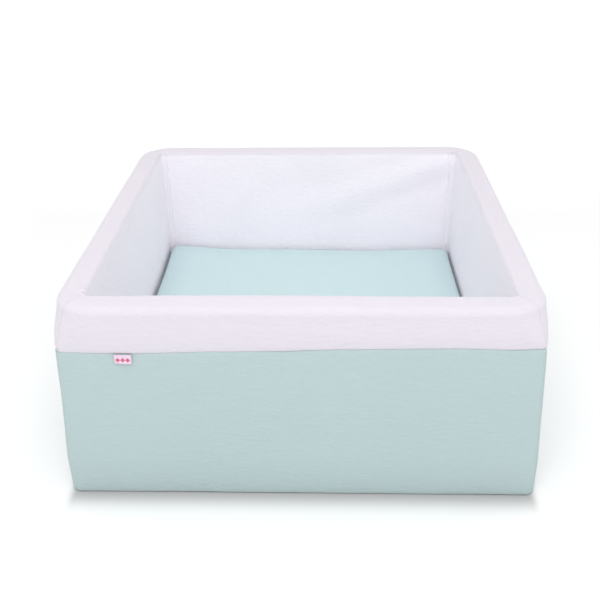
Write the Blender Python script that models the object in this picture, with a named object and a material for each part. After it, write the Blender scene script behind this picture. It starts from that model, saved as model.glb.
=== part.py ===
"""Soft square playpen: foam walls and base in a sewn jersey cover, with a loose padded floor mat.

Metres, +Z up. The origin is on the ground under the middle, and the front faces -Y.
"""

import math

import bmesh
import bpy
from mathutils import Matrix, Vector

# Driving dimensions
WIDTH = 0.900  # over the foot of the cover, along X
DEPTH = 0.900  # over the foot of the cover, along Y
HEIGHT = 0.404
BAND_DEPTH = 0.084  # the white band outside, from the top down to the seam
KNEE_Z = 0.075  # the skirt is upright below this and leans in above it
FOOT_FLARE = 0.0125  # how far the foot stands out beyond the rim, each side
WALL_FOAM = 0.050
BASE_FOAM = 0.060
CLOTH = 0.0012
GAP = 0.0003  # between pieces that touch
CUT_SLOPE = 0.0002  # over a cut edge, because bridging needs two levels at unlike heights

# Roundings
FOOT_CORNER = 0.020  # corner radius seen from above, at the foot
SEAM_CORNER = 0.015  # and at the seam
RIM_CORNER = 0.070  # and at the rim, where the cover pulls the foam round
RIM_CORNER_FALL = 0.3  # over the outer edge the radius falls by this share of the inset
INNER_CORNER = 0.012
FOOT_EDGE = 0.006
RIM_EDGE_OUT = 0.018
RIM_EDGE_IN = 0.009
RIM_FALL = 0.0005  # the rim's top is this much lower at its inner edge
BAND_BULGE = 0.0035  # how far the padded band stands proud of the seam
CORNER_STEPS = 4
EDGE_STEPS = 4
BAND_STEPS = 4

# Floor mat
MAT_THICKNESS = 0.0709
MAT_SIDE_GAP = 0.0060  # both sides together
MAT_SHIFT = 0.0015  # the mat lies this much right of the middle
MAT_FRONT_GAP = 0.0075
MAT_BACK_GAP = 0.0015
MAT_CORNER = 0.022
MAT_EDGE = 0.008

# Zips
BACK_ZIP_MARGIN = 0.0600  # from each side of the foot to the end of the zip
BACK_ZIP_Z = 0.0360
MAT_ZIP_MARGIN = 0.0615  # and from each side of the mat
TAPE_WIDTH = 0.0060  # what shows of each tape
TEETH_HEIGHT = 0.0022  # one row of teeth
TEETH_THICK = 0.0024
POST = 0.0012  # the slider's post, which parts the two rows
STOP_LENGTH = 0.0040
STOP_INSET = 0.0060  # from the end of the slot to the stop
SLIDER_LENGTH = 0.0110
SLIDER_WIDTH = 0.0085
SLIDER_PLATE = 0.0012
BRIDGE_LENGTH = 0.0068  # the slider's bridge, which holds the pull tab
BRIDGE_WIDTH = 0.0016
BRIDGE_BAR = 0.0010
BRIDGE_POST = 0.0012
TAB_LENGTH = 0.0240
TAB_WIDTH = 0.0070
TAB_THICK = 0.0012
TAB_ROUND = 0.0021
TAB_SLACK = 0.0003  # round the pull tab's bar

# Label
LABEL_WIDTH = 0.0320
LABEL_DROP = 0.0185
LABEL_THICK = 0.0006
LABEL_FROM_LEFT = 0.1360  # from the left side of the foot to its middle

# Worked out from those
HALF_X = WIDTH / 2
HALF_Y = DEPTH / 2
SEAM_Z = HEIGHT - BAND_DEPTH  # where the white rim cover is sewn to the coloured skirt
SHOULDER_Z = HEIGHT - RIM_EDGE_OUT
FOAM_OUT = FOOT_FLARE + CLOTH + GAP  # insets are measured from the foot's outline
FOAM_IN = FOAM_OUT + WALL_FOAM
LINING_OUT = FOAM_IN + GAP
LINING_IN = LINING_OUT + CLOTH
CLEAR_X = HALF_X - LINING_IN
CLEAR_Y = HALF_Y - LINING_IN
FOAM_Z = CLOTH + GAP
BASE_TOP = FOAM_Z + BASE_FOAM
FLOOR_Z = BASE_TOP + GAP + CLOTH
MAT_Z = FLOOR_Z + GAP
MAT_TOP = MAT_Z + MAT_THICKNESS
MAT_SIDE_Z = MAT_Z + CLOTH + GAP  # the cover's side starts above the underside
MAT_HALF_X = CLEAR_X - MAT_SIDE_GAP / 2
MAT_HALF_Y = CLEAR_Y - (MAT_FRONT_GAP + MAT_BACK_GAP) / 2
MAT_Y = (MAT_FRONT_GAP - MAT_BACK_GAP) / 2
BACK_ZIP_LENGTH = WIDTH - 2 * BACK_ZIP_MARGIN
MAT_ZIP_LENGTH = 2 * (MAT_HALF_X - MAT_ZIP_MARGIN)
POST_ROOM = POST / 2 + GAP
TEETH_OUT = POST_ROOM + TEETH_HEIGHT
TAPE_OUT = TEETH_OUT + GAP + TAPE_WIDTH
PLATE_AT = TEETH_THICK / 2 + GAP  # the slider's plates start here
PLATE_OUT = PLATE_AT + SLIDER_PLATE
TAB_AT = PLATE_OUT + TAB_SLACK + TAB_THICK / 2
BRIDGE_IN = TAB_AT + TAB_THICK / 2 + TAB_SLACK
BRIDGE_OUT = BRIDGE_IN + BRIDGE_BAR

# Colour, roughness, metallic
WHITE_JERSEY = ((0.86, 0.83, 0.90), 0.95, 0.0)
MINT_JERSEY = ((0.56, 0.70, 0.70), 0.95, 0.0)
PALE_MINT_JERSEY = ((0.62, 0.76, 0.79), 0.95, 0.0)
FOAM = ((0.90, 0.88, 0.80), 0.98, 0.0)
LABEL_TAPE = ((0.90, 0.78, 0.86), 0.60, 0.0)
ZIP_PLASTIC = ((0.80, 0.84, 0.84), 0.45, 0.0)
ZIP_METAL = ((0.70, 0.71, 0.72), 0.30, 1.0)

SIDES = {
    "front": Vector((0, -1, 0)),
    "back": Vector((0, 1, 0)),
    "left": Vector((-1, 0, 0)),
    "right": Vector((1, 0, 0)),
}


def clear_scene():
    for old in list(bpy.data.objects):
        bpy.data.objects.remove(old, do_unlink=True)


def material(name, finish):
    colour, rough, metal = finish
    made = bpy.data.materials.get(name) or bpy.data.materials.new(name)
    made.use_nodes = True
    shader = made.node_tree.nodes["Principled BSDF"]
    shader.inputs["Base Color"].default_value = (*colour, 1)
    shader.inputs["Roughness"].default_value = rough
    shader.inputs["Metallic"].default_value = metal
    return made


def add_object(name, bm, finish, finish_name):
    mesh = bpy.data.meshes.new(name)
    bmesh.ops.recalc_face_normals(bm, faces=bm.faces)
    bm.to_mesh(mesh)
    bm.free()
    mesh.shade_smooth()
    mesh.set_sharp_from_angle(angle=math.radians(40))
    made = bpy.data.objects.new(name, mesh)
    made.data.materials.append(material(finish_name, finish))
    bpy.context.scene.collection.objects.link(made)
    return made


def new_edges(bm, before):
    return [edge for edge in bm.edges if edge not in before]


def rounded_level(bm, half_x, half_y, radius, z):
    """The edges of one level: a rectangle with round corners."""
    before = set(bm.edges)
    place = Matrix.Translation((0, 0, z)) @ Matrix.Diagonal((half_x, half_y, 1, 1))
    made = bmesh.ops.create_grid(bm, x_segments=1, y_segments=1, size=1, matrix=place)
    bmesh.ops.bevel(
        bm,
        geom=made["verts"],
        offset=radius,
        offset_type="OFFSET",
        affect="VERTICES",
        segments=CORNER_STEPS,
        profile=0.5,
        material=-1,
    )
    edges = new_edges(bm, before)
    faces = {face for edge in edges for face in edge.link_faces}
    bmesh.ops.delete(bm, geom=list(faces), context="FACES_ONLY")
    return edges


def level(inset, radius, z):
    """A level of a ring, as its inset from the foot's outline, corner radius and height."""
    return (HALF_X - inset, HALF_Y - inset, radius, z)


def ring(levels, closed=True):
    """A skin through a list of levels, which goes back to the first one when closed."""
    bm = bmesh.new()
    loops = [rounded_level(bm, *one) for one in levels]
    following = loops[1:] + loops[:1] if closed else loops[1:]
    for this, other in zip(loops, following):
        bmesh.ops.bridge_loops(bm, edges=this + other)
    return bm


def cut_side(bm, outward):
    """Keeps one side of a ring, cut at the mitres through its two corners."""
    across = Vector((-outward.y, outward.x, 0))
    for sign in (1, -1):
        corner = Vector((outward.x * HALF_X, outward.y * HALF_Y, 0))
        corner += Vector((across.x * HALF_X, across.y * HALF_Y, 0)) * sign
        normal = (across * sign - outward).normalized()
        bmesh.ops.bisect_plane(
            bm,
            geom=bm.verts[:] + bm.edges[:] + bm.faces[:],
            plane_co=corner - normal * GAP / 2,
            plane_no=normal,
            clear_outer=True,
        )
        open_edges = [edge for edge in bm.edges if edge.is_boundary]
        bmesh.ops.holes_fill(bm, edges=open_edges, sides=0)
    return bm


def edge_arc(inset, z, radius, start, end):
    """Points (inset, z) along a rounded edge about its centre; 0 degrees faces out."""
    points = []
    for step in range(EDGE_STEPS + 1):
        angle = math.radians(start + (end - start) * step / EDGE_STEPS)
        points.append((inset - radius * math.cos(angle), z + radius * math.sin(angle)))
    return points


def rim_path(sink):
    """(inset, corner radius, z) over the rim, sink below the cover's outer face."""
    out_edge = RIM_EDGE_OUT - sink
    in_edge = RIM_EDGE_IN - sink
    outer = edge_arc(FOOT_FLARE + RIM_EDGE_OUT, SHOULDER_Z, out_edge, 0, 90)
    inner_z = HEIGHT - RIM_FALL - RIM_EDGE_IN
    inner = edge_arc(LINING_IN - RIM_EDGE_IN, inner_z, in_edge, 90, 180)
    path = []
    for inset, z in outer:
        radius = RIM_CORNER - sink - RIM_CORNER_FALL * (inset - FOOT_FLARE - sink)
        path.append((inset, radius, z))
    low, top = path[-1][0], path[-1][1]
    for inset, z in inner:
        share = (inset - low) / (LINING_IN - sink - low)
        path.append((inset, top + (INNER_CORNER + sink - top) * share, z))
    return path


def rim_cover_levels():
    """The white cloth: the padded band, over the rim, and down inside to the floor."""
    start = SEAM_Z + GAP / 2
    lining_end = BASE_TOP + GAP
    outer = []
    inner = []
    for step in range(BAND_STEPS):
        share = step / BAND_STEPS
        z = start + (SHOULDER_Z - start) * share
        radius = SEAM_CORNER + (RIM_CORNER - SEAM_CORNER) * share
        inset = FOOT_FLARE - BAND_BULGE * math.sin(math.pi * share)
        outer.append(level(inset, radius, z))
        inner.append(level(inset + CLOTH, radius - CLOTH, max(z, start + CUT_SLOPE)))
    outer += [level(*point) for point in rim_path(0)]
    inner += [level(*point) for point in rim_path(CLOTH)]
    outer.append(level(LINING_IN, INNER_CORNER, lining_end))
    inner.append(level(LINING_OUT, INNER_CORNER + CLOTH, lining_end + CUT_SLOPE))
    return outer + inner[::-1]


def wall_foam_levels():
    """The foam ring inside the cover, which is cut into four slabs."""
    sink = CLOTH + GAP
    levels = [
        level(FOAM_OUT, SEAM_CORNER - sink, FOAM_Z),
        level(FOAM_OUT, SEAM_CORNER - sink, SEAM_Z),
    ]
    levels += [level(*point) for point in rim_path(sink)]
    levels.append(level(FOAM_IN, INNER_CORNER + sink, FOAM_Z + CUT_SLOPE))
    return levels


def skirt_inset(z):
    """How far in the skirt's outer face is at a height."""
    return FOOT_FLARE * max(0, z - KNEE_Z) / (SEAM_Z - KNEE_Z)


def skirt_levels():
    """The coloured cloth from the foot's rounded edge up to the seam."""
    top = SEAM_Z - GAP / 2
    faces = []
    for sink, end in ((0, top), (CLOTH, top - CUT_SLOPE)):
        edge = edge_arc(FOOT_EDGE, FOAM_Z + FOOT_EDGE, FOOT_EDGE - sink, -90, 0)
        face = [level(inset, FOOT_CORNER - inset, z) for inset, z in edge]
        face.append(level(sink, FOOT_CORNER - sink, KNEE_Z))
        face.append(level(skirt_inset(top) + sink, SEAM_CORNER - sink, end))
        faces.append(face)
    outer, inner = faces
    return outer + inner[::-1]


def closed_board(levels):
    """A solid through a list of levels, with its two ends filled."""
    bm = ring(levels, closed=False)
    bmesh.ops.holes_fill(bm, edges=[edge for edge in bm.edges if edge.is_boundary], sides=0)
    return bm


def slab(name, outline, low, high, finish, finish_name):
    """A flat board or cloth with round corners; outline is its half sizes and corner radius."""
    board = closed_board([(*outline, low), (*outline, high)])
    add_object(name, board, finish, finish_name)


def make_walls():
    for side, outward in SIDES.items():
        foam = cut_side(ring(wall_foam_levels()), outward)
        add_object("wall_foam_" + side, foam, FOAM, "foam")
        rim = cut_side(ring(rim_cover_levels()), outward)
        add_object("rim_cover_" + side, rim, WHITE_JERSEY, "white_jersey")
        skirt = cut_side(ring(skirt_levels()), outward)
        add_object("skirt_" + side, skirt, MINT_JERSEY, "mint_jersey")


def make_base():
    foot = (HALF_X - FOOT_EDGE, HALF_Y - FOOT_EDGE, FOOT_CORNER - FOOT_EDGE)
    slab("base_cloth", foot, 0, CLOTH, MINT_JERSEY, "mint_jersey")
    board = (HALF_X - FOAM_IN - GAP, HALF_Y - FOAM_IN - GAP, INNER_CORNER + CLOTH)
    slab("base_foam", board, FOAM_Z, BASE_TOP, FOAM, "foam")
    floor = (CLEAR_X - GAP, CLEAR_Y - GAP, INNER_CORNER)
    slab("floor_cloth", floor, BASE_TOP + GAP, FLOOR_Z, WHITE_JERSEY, "white_jersey")


def mat_levels(sink):
    """The outside of the mat from its lower edge to its top, sunk by a thickness."""
    low = MAT_SIDE_Z + (CUT_SLOPE if sink else 0)
    path = [(sink, low)] + edge_arc(MAT_EDGE, MAT_TOP - MAT_EDGE, MAT_EDGE - sink, 0, 90)
    return [(MAT_HALF_X - inset, MAT_HALF_Y - inset, MAT_CORNER - inset, z) for inset, z in path]


def make_mat():
    shift = (MAT_SHIFT, MAT_Y, 0)
    underside = closed_board(
        [(MAT_HALF_X, MAT_HALF_Y, MAT_CORNER, z) for z in (MAT_Z, MAT_Z + CLOTH)]
    )
    bmesh.ops.translate(underside, verts=underside.verts, vec=shift)
    add_object("mat_underside", underside, PALE_MINT_JERSEY, "pale_mint_jersey")

    cover = closed_board(mat_levels(0)[::-1] + mat_levels(CLOTH))
    bmesh.ops.translate(cover, verts=cover.verts, vec=shift)
    add_object("mat_cover", cover, PALE_MINT_JERSEY, "pale_mint_jersey")

    # The foam stands back from the front, which leaves room for the slider's inner plate.
    room = PLATE_OUT - CLOTH / 2
    foam_half_y = MAT_HALF_Y - CLOTH - GAP
    foam = closed_board(mat_levels(CLOTH + GAP))
    bmesh.ops.scale(foam, vec=(1, 1 - room / 2 / foam_half_y, 1), verts=foam.verts)
    bmesh.ops.translate(foam, verts=foam.verts, vec=(MAT_SHIFT, MAT_Y + room / 2, 0))
    add_object("mat_foam", foam, FOAM, "foam")


def block(name, low, high, place, finish, finish_name):
    """A box between two corners in the frame that place gives."""
    low, high = Vector(low), Vector(high)
    bm = bmesh.new()
    box = Matrix.Translation((low + high) / 2) @ Matrix.Diagonal((*(high - low), 1))
    bmesh.ops.create_cube(bm, size=1, matrix=box)
    made = add_object(name, bm, finish, finish_name)
    made.matrix_world = place
    return made


def combine(target, tool, operation):
    """Joins or cuts a piece with a tool, which isn't part of the model itself."""
    change = target.modifiers.new(tool.name, "BOOLEAN")
    change.operation = operation
    change.solver = "EXACT"
    change.object = tool
    tool.hide_render = True
    tool.display_type = "WIRE"


def make_zip(name, length, place, cover):
    """Tapes, two rows of teeth and end stops in a slot, along X, with Y up and Z outwards."""
    half = length / 2
    slot = TAPE_OUT + GAP
    deep = 5 * CLOTH  # past both faces of the cover
    cutter = block(name + "_slot", (-half, -slot, -deep), (half, slot, deep), place, FOAM, "foam")
    combine(cover, cutter, "DIFFERENCE")
    stop_end = half - STOP_INSET
    teeth_end = stop_end - STOP_LENGTH - GAP
    tape = (TEETH_OUT + GAP, TAPE_OUT, half - GAP, CLOTH / 2, MINT_JERSEY, "zip_tape")
    teeth = (POST_ROOM, TEETH_OUT, teeth_end, TEETH_THICK / 2, ZIP_PLASTIC, "zip_plastic")
    for row, sign in (("upper", 1), ("lower", -1)):
        for part, (near, far, end, thick, *finish) in (("tape", tape), ("teeth", teeth)):
            low, high = sorted((near * sign, far * sign))
            block(f"{name}_{part}_{row}", (-end, low, -thick), (end, high, thick), place, *finish)
    for end_name, sign in (("closed", 1), ("open", -1)):
        low, high = sorted((sign * stop_end, sign * (stop_end - STOP_LENGTH)))
        block(
            f"{name}_stop_{end_name}",
            (low, -TEETH_OUT, -TEETH_THICK / 2),
            (high, TEETH_OUT, TEETH_THICK / 2),
            place,
            ZIP_METAL,
            "zip_metal",
        )


def slider_rest(length):
    """Where the slider's middle is along its zip when the zip is closed."""
    return length / 2 - STOP_INSET - STOP_LENGTH - GAP - SLIDER_LENGTH / 2


def make_slider(name, place):
    """Two plates joined by the post between the rows of teeth, with a bridge for a pull tab."""
    half_long, half_wide = SLIDER_LENGTH / 2, SLIDER_WIDTH / 2
    bite = SLIDER_PLATE / 2  # how far the pieces of the slider run into each other
    half_bridge, half_bar = BRIDGE_LENGTH / 2, BRIDGE_WIDTH / 2

    def piece(part, low, high):
        return block(part, low, high, place, ZIP_METAL, "zip_metal")

    slider = piece(name, (-half_long, -half_wide, PLATE_AT), (half_long, half_wide, PLATE_OUT))
    back = (-half_long, -half_wide, -PLATE_OUT), (half_long, half_wide, -PLATE_AT)
    post = (-half_long / 2, -POST / 2, -PLATE_AT - bite), (half_long / 2, POST / 2, PLATE_AT + bite)
    bridge = (-half_bridge, -half_bar, PLATE_OUT - bite), (half_bridge, half_bar, BRIDGE_OUT)
    inside = half_bridge - BRIDGE_POST
    under = (-inside, -2 * half_bar, PLATE_OUT), (inside, 2 * half_bar, BRIDGE_IN)
    combine(slider, piece(name + "_bridge", *bridge), "UNION")
    combine(slider, piece(name + "_under_bridge", *under), "DIFFERENCE")
    combine(slider, piece(name + "_post", *post), "UNION")
    combine(slider, piece(name + "_back_plate", *back), "UNION")
    return slider


def make_pull_tab(name, place):
    """A flat tab with an eye round the slider's bridge; its bar is on the hinge axis."""
    bar = TAB_THICK / 2
    bm = bmesh.new()
    box = Matrix.Translation((TAB_LENGTH / 2 - bar, 0, 0)) @ Matrix.Diagonal(
        (TAB_LENGTH, TAB_WIDTH, TAB_THICK, 1)
    )
    bmesh.ops.create_cube(bm, size=1, matrix=box)
    corners = [edge for edge in bm.edges if abs(edge.verts[0].co.z - edge.verts[1].co.z) > bar]
    ends = [edge for edge in corners if edge.verts[0].co.x > 0]
    bmesh.ops.bevel(
        bm,
        geom=ends,
        offset=TAB_ROUND,
        affect="EDGES",
        segments=4,
        profile=0.5,
        material=-1,
    )
    tab = add_object(name, bm, ZIP_METAL, "zip_metal")
    tab.matrix_world = place
    eye_end = math.hypot(BRIDGE_LENGTH / 2, BRIDGE_OUT - TAB_AT) + TAB_SLACK
    eye_half = BRIDGE_WIDTH / 2 + 2 * TAB_SLACK
    eye = (bar, -eye_half, -2 * TAB_THICK), (eye_end, eye_half, 2 * TAB_THICK)
    combine(tab, block(name + "_eye", *eye, place, ZIP_METAL, "zip_metal"), "DIFFERENCE")


def make_back_zip():
    """Low on the back of the skirt, for taking the cover off."""
    frame = Matrix(((-1, 0, 0), (0, 0, 1), (0, 1, 0))).to_4x4()
    place = Matrix.Translation((0, HALF_Y - CLOTH / 2, BACK_ZIP_Z)) @ frame
    make_zip("back_zip", BACK_ZIP_LENGTH, place, bpy.data.objects["skirt_back"])
    at = place @ Matrix.Translation((slider_rest(BACK_ZIP_LENGTH), 0, 0))
    make_slider("back_zip_slider", at)
    turned = Matrix.Translation((0, 0, TAB_AT)) @ Matrix.Rotation(math.pi, 4, "Z")
    make_pull_tab("back_zip_pull_tab", at @ turned)


def make_mat_zip():
    """In the front side of the mat's cover; its slider has no pull tab for a child to find."""
    frame = Matrix(((1, 0, 0), (0, 0, -1), (0, 1, 0))).to_4x4()
    front = MAT_Y - MAT_HALF_Y + CLOTH / 2
    place = Matrix.Translation((MAT_SHIFT, front, MAT_Z + MAT_THICKNESS / 2)) @ frame
    make_zip("mat_zip", MAT_ZIP_LENGTH, place, bpy.data.objects["mat_cover"])
    make_slider("mat_zip_slider", place @ Matrix.Translation((slider_rest(MAT_ZIP_LENGTH), 0, 0)))


def make_label():
    """A folded tape caught in the seam, which hangs against the leaning skirt."""
    lean = math.atan2(FOOT_FLARE, SEAM_Z - KNEE_Z)
    seam = (LABEL_FROM_LEFT - HALF_X, FOOT_FLARE - HALF_Y, SEAM_Z)
    place = Matrix.Translation(seam) @ Matrix.Rotation(-lean, 4, "X")
    half = LABEL_WIDTH / 2
    low = (-half, -2 * GAP - LABEL_THICK, -LABEL_DROP)
    high = (half, -2 * GAP, -2 * GAP)
    block("label", low, high, place, LABEL_TAPE, "label_tape")


def main():
    clear_scene()
    make_walls()
    make_base()
    make_mat()
    make_back_zip()
    make_mat_zip()
    make_label()
    bpy.context.view_layer.update()


main()
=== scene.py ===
# %% [markdown]
# # A soft square playpen
# The real object is foam under a sewn jersey cover. Four foam walls stand round a foam base, and a
# loose padded mat lies on the floor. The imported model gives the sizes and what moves. This script
# builds the cloth, the zips' teeth and the finishes round it, one step at a time.

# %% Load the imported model
import math

import bmesh
import bpy
from mathutils import Matrix, Vector, noise


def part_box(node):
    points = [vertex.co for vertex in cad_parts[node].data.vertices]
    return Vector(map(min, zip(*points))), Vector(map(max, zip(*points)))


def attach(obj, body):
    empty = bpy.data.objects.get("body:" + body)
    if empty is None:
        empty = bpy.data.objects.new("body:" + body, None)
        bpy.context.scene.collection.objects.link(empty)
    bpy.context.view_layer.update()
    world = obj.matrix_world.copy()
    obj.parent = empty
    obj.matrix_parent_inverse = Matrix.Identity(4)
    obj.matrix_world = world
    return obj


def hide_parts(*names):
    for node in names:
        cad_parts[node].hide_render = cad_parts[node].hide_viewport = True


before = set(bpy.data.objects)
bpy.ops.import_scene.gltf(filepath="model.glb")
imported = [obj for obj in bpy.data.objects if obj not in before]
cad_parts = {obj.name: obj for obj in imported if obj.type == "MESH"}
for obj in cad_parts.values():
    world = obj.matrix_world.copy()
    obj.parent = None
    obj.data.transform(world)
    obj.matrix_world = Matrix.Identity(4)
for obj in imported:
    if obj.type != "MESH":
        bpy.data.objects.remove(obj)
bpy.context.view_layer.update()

# %% [markdown]
# ## The sizes that everything follows
# The main sizes are read from the model's own pieces, so the cloth fits even if the model changes;
# the others are given here. The cloth is described by its inset, which is how far in it is from the
# outline of the foot.

# %% Read the sizes
GAP = 0.0003  # between pieces that lie against each other
CLOTH = 0.0012
FOOT_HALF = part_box("skirt_right")[1][0]
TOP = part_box("rim_cover_front")[1][2]
SEAM_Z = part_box("skirt_front")[1][2] + GAP / 2
FOOT_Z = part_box("skirt_front")[0][2]
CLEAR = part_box("floor_cloth")[1][0] + GAP  # half the width between the linings
LINING = FOOT_HALF - CLEAR
FLARE = 0.0125  # how far the outside leans in, from the knee up to the seam
KNEE_Z = 0.075
SHOULDER = 0.015  # the radius of the rim's outer edge
INNER_EDGE = 0.009  # and of its inner edge
print("half", round(FOOT_HALF, 4), "top", round(TOP, 4))
print("seam", round(SEAM_Z, 4), "painted_light_lining", round(LINING, 4))

# %% [markdown]
# ## Camera, floor and light
# The playpen stands on a pale floor in a bright, even studio. The camera looks down at about 29
# degrees, far enough back that the sides stay almost upright. A dome of white light does most of
# the work, as a light tent does. A lamp above and one over the camera shape the rounded rim and
# reach the far wall, and a weaker one at the right makes the two sides differ a little.

# %% Camera
LENS = 48.376
CAMERA_AT = (0.0485, -1.6325, 1.0913)
YAW, PITCH, ROLL = -0.0374, 0.5093, 0.0169
camera = bpy.data.objects.new("camera", bpy.data.cameras.new("camera"))
camera.data.lens = LENS
camera.data.sensor_width = 36
turn = Matrix.Rotation(-YAW, 4, "Z") @ Matrix.Rotation(math.pi / 2 - PITCH, 4, "X")
camera.matrix_world = Matrix.Translation(CAMERA_AT) @ turn @ Matrix.Rotation(-ROLL, 4, "Z")
bpy.context.scene.collection.objects.link(camera)
bpy.context.scene.camera = camera
bpy.context.scene.view_settings.view_transform = "Standard"
print("camera", CAMERA_AT, "lens", LENS)


# %% Lamps and dome
DOME_STRENGTH = 0.835
MIDDLE = Vector((0, 0, 0.2))


def soft_lamp(name, place, size, power):
    """A big square lamp that faces the middle of the playpen."""
    lamp = bpy.data.objects.new(name, bpy.data.lights.new(name, "AREA"))
    lamp.data.size = size
    lamp.data.energy = power
    aim = MIDDLE - Vector(place)
    lamp.rotation_euler = aim.to_track_quat("-Z", "Y").to_euler()
    lamp.location = place
    bpy.context.scene.collection.objects.link(lamp)


soft_lamp("lamp_above", (0.0, -0.2, 3.2), 2.6, 17)
soft_lamp("lamp_over_camera", (-0.1, -2.2, 3.0), 2.2, 37)
soft_lamp("lamp_right", (2.2, -2.6, 1.8), 2.0, 3)
dome = bpy.data.worlds.new("dome")
dome.use_nodes = True
dome.node_tree.nodes["Background"].inputs["Color"].default_value = (1, 1, 1, 1)
dome.node_tree.nodes["Background"].inputs["Strength"].default_value = DOME_STRENGTH
bpy.context.scene.world = dome

# %% [markdown]
# ## Finishes
# Cotton jersey is a fine knit: columns of small loops about a millimetre apart, matt, with a soft
# fuzz. The loops come from two sine waves across the cloth, laid out in metres by each piece's own
# map. Slow noise moves the colour a little, as dye and handling do. The lining inside the walls is
# the same cloth, painted a lighter white than the band and the rim: painted light that stands in
# for the light bouncing round inside the walls. The change is at the inner edge.


# %% A small kit for shader maths
class Value:
    """A number that varies over a surface. Plain operators on it add Math nodes."""

    def __init__(self, finish, socket):
        self.finish = finish
        self.socket = socket

    def maths(self, operation, left, right=0.0):
        return self.finish.node("ShaderNodeMath", {"operation": operation}, {0: left, 1: right})

    def __add__(self, other):
        return self.maths("ADD", self, other)

    def __sub__(self, other):
        return self.maths("SUBTRACT", self, other)

    def __rsub__(self, other):
        return self.maths("SUBTRACT", other, self)

    def __mul__(self, other):
        return self.maths("MULTIPLY", self, other)

    def __lt__(self, other):
        return self.maths("LESS_THAN", self, other)

    __radd__ = __add__
    __rmul__ = __mul__

    def most(self, other):
        return self.maths("MAXIMUM", self, other)

    def least(self, other):
        return self.maths("MINIMUM", self, other)

    def sine(self):
        return self.maths("SINE", self)

    def size(self):
        return self.maths("ABSOLUTE", self)

    def exponent(self):
        return self.maths("EXPONENT", self)


class Finish:
    """One material and the nodes that make it."""

    def __init__(self, name, roughness, metallic=0.0, sheen=0.0):
        self.material = bpy.data.materials.new(name)
        self.material.use_nodes = True
        self.tree = self.material.node_tree
        self.shader = self.tree.nodes["Principled BSDF"]
        self.shader.inputs["Roughness"].default_value = roughness
        self.shader.inputs["Metallic"].default_value = metallic
        self.shader.inputs["Sheen Weight"].default_value = sheen
        self.shader.inputs["Sheen Roughness"].default_value = 0.45

    def node(self, kind, settings=None, inputs=None, output=0):
        """Adds a node. An input is a plain number or another node's Value."""
        made = self.tree.nodes.new(kind)
        for key, value in (settings or {}).items():
            setattr(made, key, value)
        for key, value in (inputs or {}).items():
            if isinstance(value, Value):
                self.tree.links.new(value.socket, made.inputs[key])
            else:
                made.inputs[key].default_value = value
        return Value(self, made.outputs[output])

    def parts(self, vector):
        """The three values of a vector, one for each axis."""
        split = self.node("ShaderNodeSeparateXYZ", inputs={0: vector})
        return [Value(self, split.socket.node.outputs[axis]) for axis in range(3)]

    def place(self, output="Object"):
        return self.node("ShaderNodeTexCoord", output=output)

    def noise(self, scale, detail=2.0, stretch=None):
        where = self.place()
        if stretch:
            where = self.node("ShaderNodeVectorMath", {"operation": "MULTIPLY"}, {0: where, 1: stretch})
        return self.node("ShaderNodeTexNoise", inputs={"Vector": where, "Scale": scale, "Detail": detail})

    def mix(self, amount, first, second):
        first, second = [end if isinstance(end, Value) else (*end, 1) for end in (first, second)]
        sockets = {0: amount, 6: first, 7: second}
        return self.node("ShaderNodeMix", {"data_type": "RGBA"}, sockets, output=2)

    def bump(self, height, distance, strength, under=None):
        sockets = {"Height": height, "Distance": distance, "Strength": strength}
        if under:
            sockets["Normal"] = under
        return self.node("ShaderNodeBump", inputs=sockets)

    def feed(self, name, value):
        self.tree.links.new(value.socket, self.shader.inputs[name])


# %% Jersey, foam and zip finishes
FULL_TURN = 2 * math.pi
WALE, COURSE = 0.0011, 0.0009  # the knit's columns and rows, in metres
SHADE = 0.965  # the darkest that dye and handling make it
PULL = 0.85  # how strongly the small uneven pulls of the cloth show
PAINTED_LIGHT_BLEND = 0.007  # the width over which the lining's white takes over
TAPE_THREAD = 0.0007


def jersey(name, colour, slub=0.5, painted_light_lining=None):
    """Knitted cloth. Slub is how uneven its yarn is; a lining colour paints the inside of the walls lighter,
    as painted light.
    """
    made = Finish(name, roughness=0.92, sheen=0.12)
    across, along, _ = made.parts(made.place("UV"))
    loops = (across * (FULL_TURN / WALE)).sine() * 0.6
    rows = (along * (FULL_TURN / COURSE)).sine() * 0.4
    soft = made.noise(26.0, 3.0)
    fuzz = made.noise(1400.0, 1.0)
    shade = made.noise(7.0, 3.0) * 0.7 + made.noise(420.0, 2.0) * 0.3
    dye_and_painted_light = made.mix(shade, [channel * SHADE for channel in colour], colour)
    # Painted light: inside the walls the same cloth is painted a lighter white, for the light that bounces
    # round in there.
    if painted_light_lining:
        x, y, z = made.parts(made.place())
        painted_light_inside = (CLEAR + PAINTED_LIGHT_BLEND - x.size().most(y.size())) * (1 / PAINTED_LIGHT_BLEND)
        painted_light_below = (TOP - PAINTED_LIGHT_BLEND / 2 - z) * (1 / PAINTED_LIGHT_BLEND)
        lining_with_painted_light = made.mix(shade, [channel * SHADE for channel in painted_light_lining], painted_light_lining)
        dye_and_painted_light = made.mix(painted_light_inside.least(painted_light_below), dye_and_painted_light, lining_with_painted_light)
    made.feed("Base Color", dye_and_painted_light)
    made.feed("Roughness", fuzz * 0.08 + 0.86)
    knit = made.bump(loops + rows + fuzz * 0.5, 0.00012, 0.6)
    pulls = made.bump(made.noise(150.0, 3.0, (0.4, 0.4, 1.0)), 0.0018, PULL, knit)
    made.feed("Normal", made.bump(soft, 0.0016, slub, pulls))
    return made.material


# The second colour is the lining's painted light, a lighter copy of the same white cloth.
WHITE = jersey("white_jersey", (0.707, 0.671, 0.734), slub=0.25, painted_light_lining=(0.975, 0.928, 0.985))
MINT = jersey("mint_jersey", (0.454, 0.563, 0.570))
PALE_MINT = jersey("pale_mint_jersey", (0.553, 0.702, 0.716))


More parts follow.
